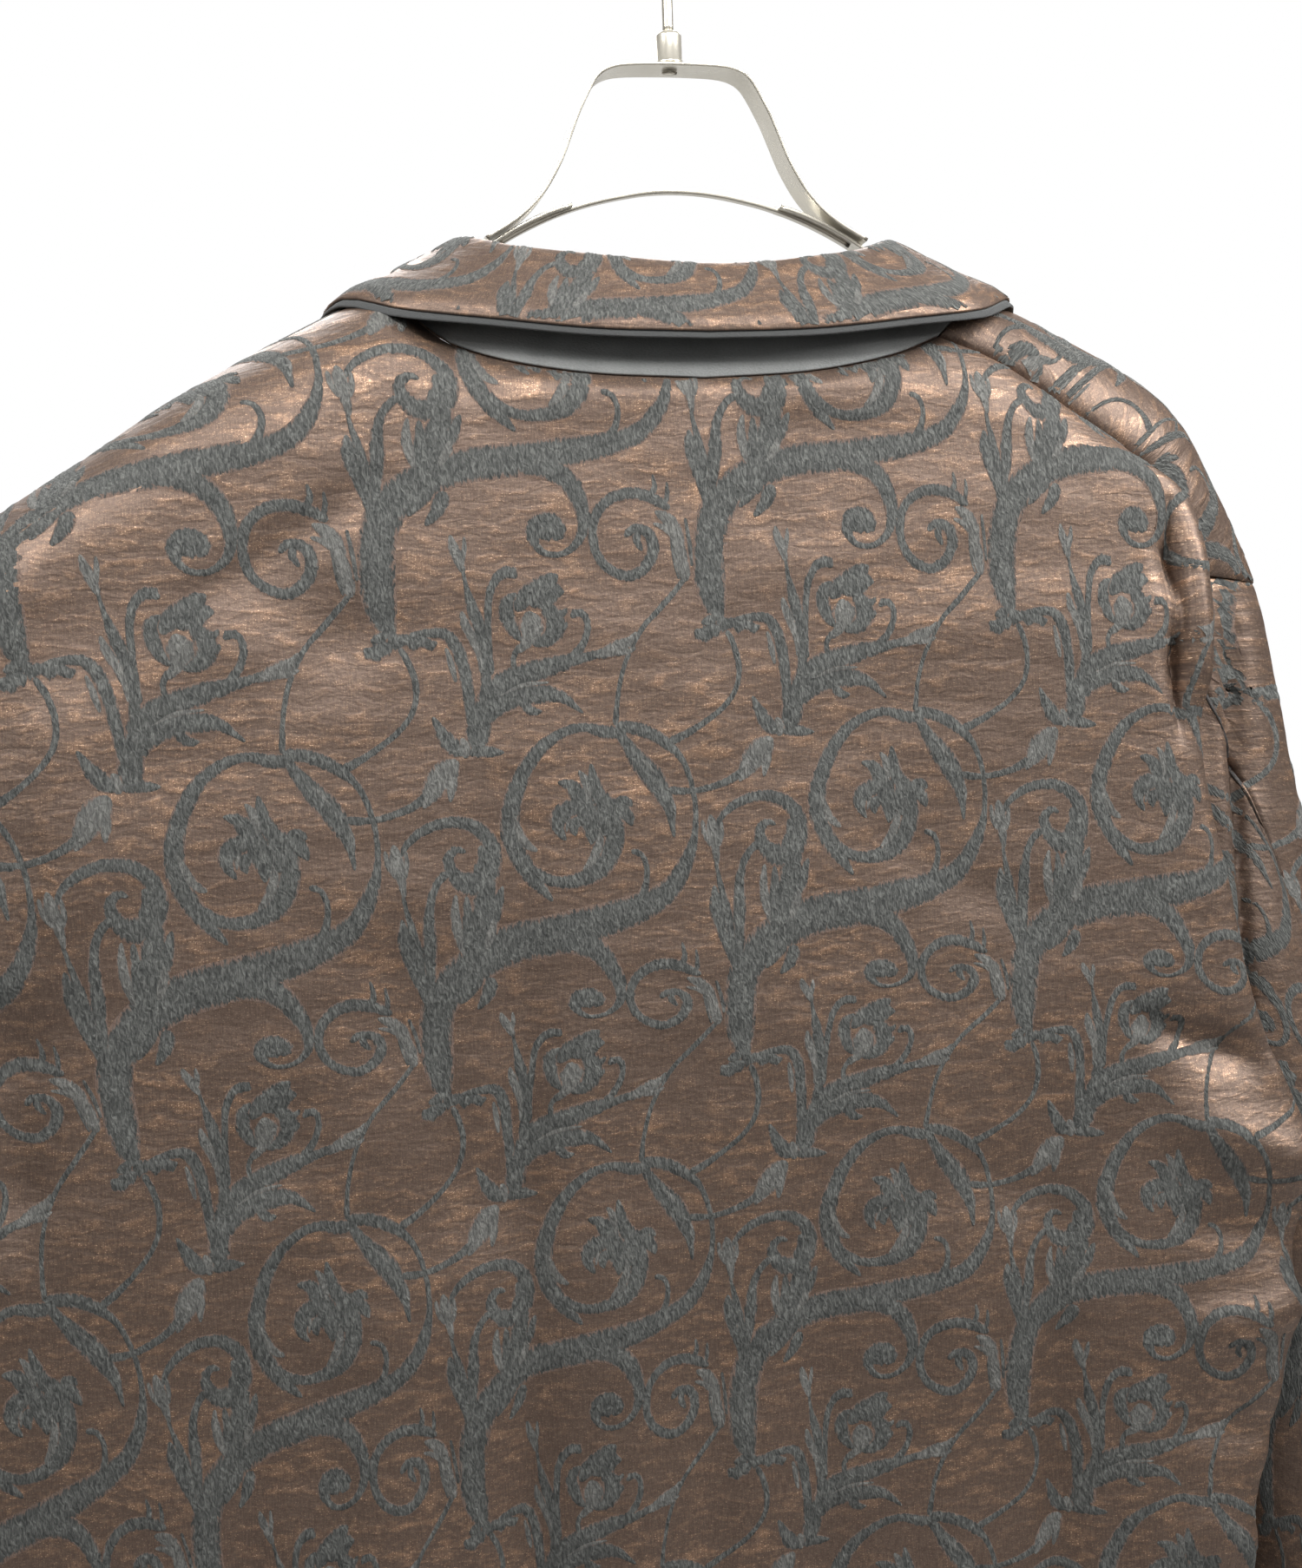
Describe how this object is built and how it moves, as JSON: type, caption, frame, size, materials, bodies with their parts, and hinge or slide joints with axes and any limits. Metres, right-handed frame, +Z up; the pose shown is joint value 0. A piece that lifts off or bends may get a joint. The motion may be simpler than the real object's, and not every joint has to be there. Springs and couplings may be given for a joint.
{
  "type": "jacket on a display hanger",
  "caption": "Loose jacquard jacket with an open turned-down collar, lapels and dropped sleeves, hung on a flat-bar metal display hanger with a hook.",
  "frame": {"origin": "inner crown of the hanger's hook, where it rests on a rail", "axes": "+Z up; -Y the jacket's front; +Y its back; +X the wearer's left"},
  "size_m": [0.7946, 0.1277, 0.9597],
  "materials": {
    "jacquard": "copper-brown lame ground with a raised matte grey-green scroll pattern",
    "collar_felt": "matte charcoal melton",
    "button": "dark, satin",
    "hanger_steel": "light nickel, brushed"
  },
  "bodies": {
    "root": {"back": "jacquard", "front_left": "jacquard", "front_right": "jacquard", "lapel_left": "jacquard", "lapel_right": "jacquard", "sleeve_left": "jacquard", "sleeve_right": "jacquard", "collar_fall": "jacquard", "under_collar": "collar_felt", "button_1": "button", "button_2": "button", "button_3": "button", "hook": "hanger_steel", "ferrule": "hanger_steel", "neck_strap": "hanger_steel", "arm_bar": "hanger_steel", "rivet": "hanger_steel"}
  },
  "joints": []
}
